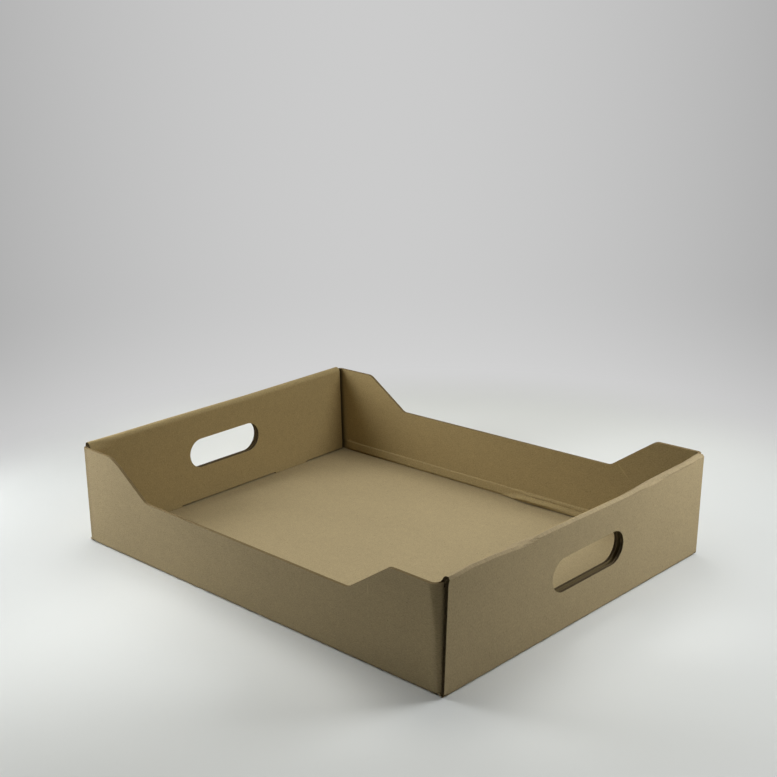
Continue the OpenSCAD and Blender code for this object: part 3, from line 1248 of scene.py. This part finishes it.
@dataclass(frozen=True)
class CovePaper:
    """Pale paper under and behind the tray: a lit floor that passes into an even, darker backdrop that glows
    with painted light.
    """

    floor: Colour = linear(230, 230, 222)
    # Painted shade at the near lamps' feet, which evens out their pools of light on the paper.
    foot: Colour = linear(178, 178, 172)
    foot_inner: float = 0.1
    foot_outer: float = 0.4
    back_middle: float = 0.597
    back_fall: float = 0.143
    back_reach: float = 0.262
    fall_limit: float = 1.1
    back_glow: float = 0.68
    behind: float = -1.0
    beside: float = -0.6
    glow_radius: float = 1.1
    glow_depth: float = 0.75
    glow_power: float = 2.3
    back_start: float = 0.36
    back_end: float = 0.52
    roughness: float = 0.9
    gloss: float = 0.1

    def backdrop(self, nodes: NodeSheet, plan: Wire, viewer: Place, across: Place) -> Wire:
        """The backdrop's grey, a painted light that glows by itself: darker to both sides of the view, and
        lighter near the tray.

        Args:
            nodes: The paper's nodes.
            plan: The places on the paper, without their heights.
            viewer: The place that the backdrop is seen from.
            across: The direction to the right as seen from there.

        Returns:
            The shader, which glows by itself.
        """
        sight = nodes.vector("SUBTRACT", plan, (viewer[0], viewer[1], 0))
        side = nodes.dot(nodes.vector("NORMALIZE", sight), across) / self.back_reach
        fall = nodes.node("ShaderNodeMath", {"operation": "MINIMUM"}, {0: side * side, 1: self.fall_limit})
        ahead = nodes.dot(plan, (-across[1], across[0], 0.0))
        grey = self.back_middle - self.back_fall * fall * nodes.ramp(ahead, self.behind, self.beside)
        inward = nodes.node("ShaderNodeMapRange", None, {
            "Value": nodes.distance(plan), "From Min": self.glow_radius,
            "From Max": self.glow_radius - self.glow_depth})
        glow = nodes.node("ShaderNodeMath", {"operation": "POWER"}, {0: inward, 1: self.glow_power})
        # Painted glow, lighter towards the tray.
        grey = grey + (self.back_glow - grey) * glow
        colour = nodes.node("ShaderNodeCombineColor", None, {"Red": grey, "Green": grey, "Blue": grey})
        return nodes.shader({"Base Color": (0, 0, 0, 1), "Specular IOR Level": 0.0,
                             "Emission Color": colour, "Emission Strength": 1.0})

    def material(self, lamp_feet: Sequence[Place], viewer: Place, across: Place) -> bpy.types.Material:
        """Builds the paper, a little darker at the feet of the lamps that stand close to it: painted shade
        against their pools of light.

        Args:
            lamp_feet: Places of the near lamps.
            viewer: The place that the backdrop is seen from.
            across: The direction to the right as seen from there.

        Returns:
            The finished material.
        """
        nodes = NodeSheet(bpy.data.materials.new("cove_paper"))
        place = nodes.node("ShaderNodeNewGeometry", None, None, "Position")
        plan = nodes.vector("MULTIPLY", place, (1, 1, 0))
        clear: Operand = 1.0
        for foot in lamp_feet:
            apart = nodes.distance(plan, (foot[0], foot[1], 0))
            clear = clear * nodes.ramp(apart, self.foot_inner, self.foot_outer)
        floor = nodes.shader({"Base Color": nodes.blend(clear, self.foot, self.floor),
                              "Roughness": self.roughness, "Specular IOR Level": self.gloss})
        back = self.backdrop(nodes, plan, viewer, across)
        # Far from the tray, camera, glossy and transmission rays see the glowing backdrop, and all other rays
        # see the lit paper.
        seen = [nodes.node("ShaderNodeLightPath", None, None, ray)
                for ray in ("Is Camera Ray", "Is Glossy Ray", "Is Transmission Ray")]
        far = nodes.ramp(nodes.distance(plan), self.back_start, self.back_end)
        share = (seen[0] + seen[1] + seen[2]) * far
        return nodes.close(nodes.node("ShaderNodeMixShader", None, {0: share, 1: floor, 2: back}))


@dataclass
class Studio:
    """A round pale cove with soft lamps, and the camera where the photograph was taken."""

    floor_radius: float = 2.4
    floor_rings: tuple[float, ...] = (0.6, 1.4)
    sweep_radius: float = 0.9
    sweep_rings: int = 16
    wall_height: float = 2.2
    sides: int = 96
    paper: CovePaper = CovePaper()
    air_grey: float = 0.01
    camera_place: Place = (0.7375, -0.7404, 0.4549)
    camera_azimuth: float = 44.418
    camera_elevation: float = 17.041
    camera_roll: float = -1.783
    focal_pixels: float = 1392.0
    clip_start: float = 0.01
    near_lamps: tuple[Softbox, ...] = (
        Softbox("left_low", (-0.40, -0.28, 0.25), 0.25, 1.5, (-0.15, -0.14, 0.03), COOL),
        Softbox("left_high", (-0.45, -0.22, 0.35), 0.3, 0.72, (-0.15, -0.12, 0.03), COOL),
        Softbox("right_low", (0.38, 0.27, 0.30), 0.25, 1.72, (0.18, 0.1, 0.03), COOL),
    )
    high_lamps: tuple[Softbox, ...] = (
        Softbox("top", (-0.12, 0.12, 1.4), 1.0, 2.24),
        Softbox("back_top", (-0.4, 0.4, 1.2), 0.8, 3.46),
        Softbox("over", (-0.04, 0.04, 0.75), 0.6, 1.08),
        Softbox("far_back", (-0.6, 0.6, 1.0), 0.6, 1.15),
    )

    def cove(self) -> bpy.types.Object:
        """Turns the cove's section round: a flat floor, a round sweep and a wall.

        Returns:
            The new object, with its paper on.
        """
        section = [(ring, 0.0) for ring in self.floor_rings]
        for angle in np.linspace(0, QUARTER, self.sweep_rings):
            out, up = math.sin(angle), 1 - math.cos(angle)
            section.append((self.floor_radius + self.sweep_radius * out, self.sweep_radius * up))
        section.append((self.floor_radius + self.sweep_radius, self.wall_height))
        turns = np.arange(self.sides) * 2 * math.pi / self.sides
        points = [(r * math.cos(a), r * math.sin(a), z) for r, z in section for a in turns]
        faces = [tuple(range(self.sides))]
        for ring in range(len(section) - 1):
            low = ring * self.sides
            for side in range(self.sides):
                after = (side + 1) % self.sides
                faces.append((low + side, low + self.sides + side, low + self.sides + after, low + after))
        mesh = bpy.data.meshes.new("cove")
        mesh.from_pydata(points, [], faces)
        mesh.polygons.foreach_set("use_smooth", np.ones(len(mesh.polygons), bool))
        made = bpy.data.objects.new("cove", mesh)
        bpy.context.scene.collection.objects.link(made)
        azimuth = math.radians(self.camera_azimuth)
        feet = [lamp.place for lamp in self.near_lamps]
        across = (math.cos(azimuth), math.sin(azimuth), 0.0)
        mesh.materials.append(self.paper.material(feet, self.camera_place, across))
        return made

    def light(self) -> None:
        """Sets the lamps and the faint light of the air."""
        for lamp in self.near_lamps + self.high_lamps:
            lamp.build()
        world = bpy.data.worlds.new("studio_air")
        nodes = NodeSheet(world)
        air = nodes.node("ShaderNodeBackground", None, {"Color": (*WHITE, 1.0), "Strength": self.air_grey})
        nodes.node("ShaderNodeOutputWorld", None, {"Surface": air})
        bpy.context.scene.world = world

    def camera(self) -> bpy.types.Object:
        """Sets the camera at the photograph's place and view.

        Returns:
            The new camera.
        """
        lens = bpy.data.cameras.new("photo_camera")
        lens.sensor_width = SENSOR
        lens.lens = self.focal_pixels / PHOTO_SIDE * SENSOR
        lens.clip_start = self.clip_start
        made = bpy.data.objects.new("photo_camera", lens)
        turn = Matrix.Rotation(math.radians(self.camera_azimuth), 4, "Z")
        turn @= Matrix.Rotation(QUARTER - math.radians(self.camera_elevation), 4, "X")
        turn @= Matrix.Rotation(math.radians(self.camera_roll), 4, "Z")
        made.matrix_world = Matrix.Translation(self.camera_place) @ turn
        bpy.context.scene.collection.objects.link(made)
        bpy.context.scene.camera = made
        return made


def main() -> None:
    """Builds the studio and the tray."""
    logging.basicConfig(level=logging.INFO, format="%(name)s: %(message)s")
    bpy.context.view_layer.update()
    bpy.context.scene.view_settings.view_transform = "Standard"
    studio = Studio()
    studio.camera()
    studio.light()
    studio.cove()
    low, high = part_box("tray")
    size = high - low
    sheet = FoldedTray(TrayBlank(size.x, size.y, size.z))
    tray = sheet.build()
    sheet.dress(tray, KraftLiner(), CutEdge())
    log.info("%s: %d faces", tray.name, len(tray.data.polygons))


if __name__ == "__main__":
    main()
